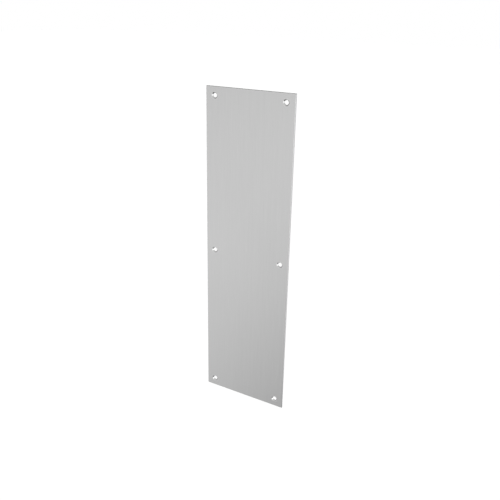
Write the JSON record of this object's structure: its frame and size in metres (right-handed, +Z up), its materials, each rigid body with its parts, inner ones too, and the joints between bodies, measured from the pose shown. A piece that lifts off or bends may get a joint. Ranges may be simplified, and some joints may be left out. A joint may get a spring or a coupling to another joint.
{
  "type": "kick plate",
  "caption": "Flat rectangular metal plate with countersunk screw holes round its edge, fixed to a door to protect it.",
  "frame": {"origin": "centre of the plate's flat back face, the face that lies on the door", "axes": "+Z up along the plate's long side, +Y out of the back face into the door, -Y out of the front face, X across the width"},
  "size_m": [0.1, 0.0015, 0.35],
  "materials": {
    "plate": "satin, grained along the plate's length"
  },
  "bodies": {
    "root": {"plate": "plate"}
  },
  "joints": []
}
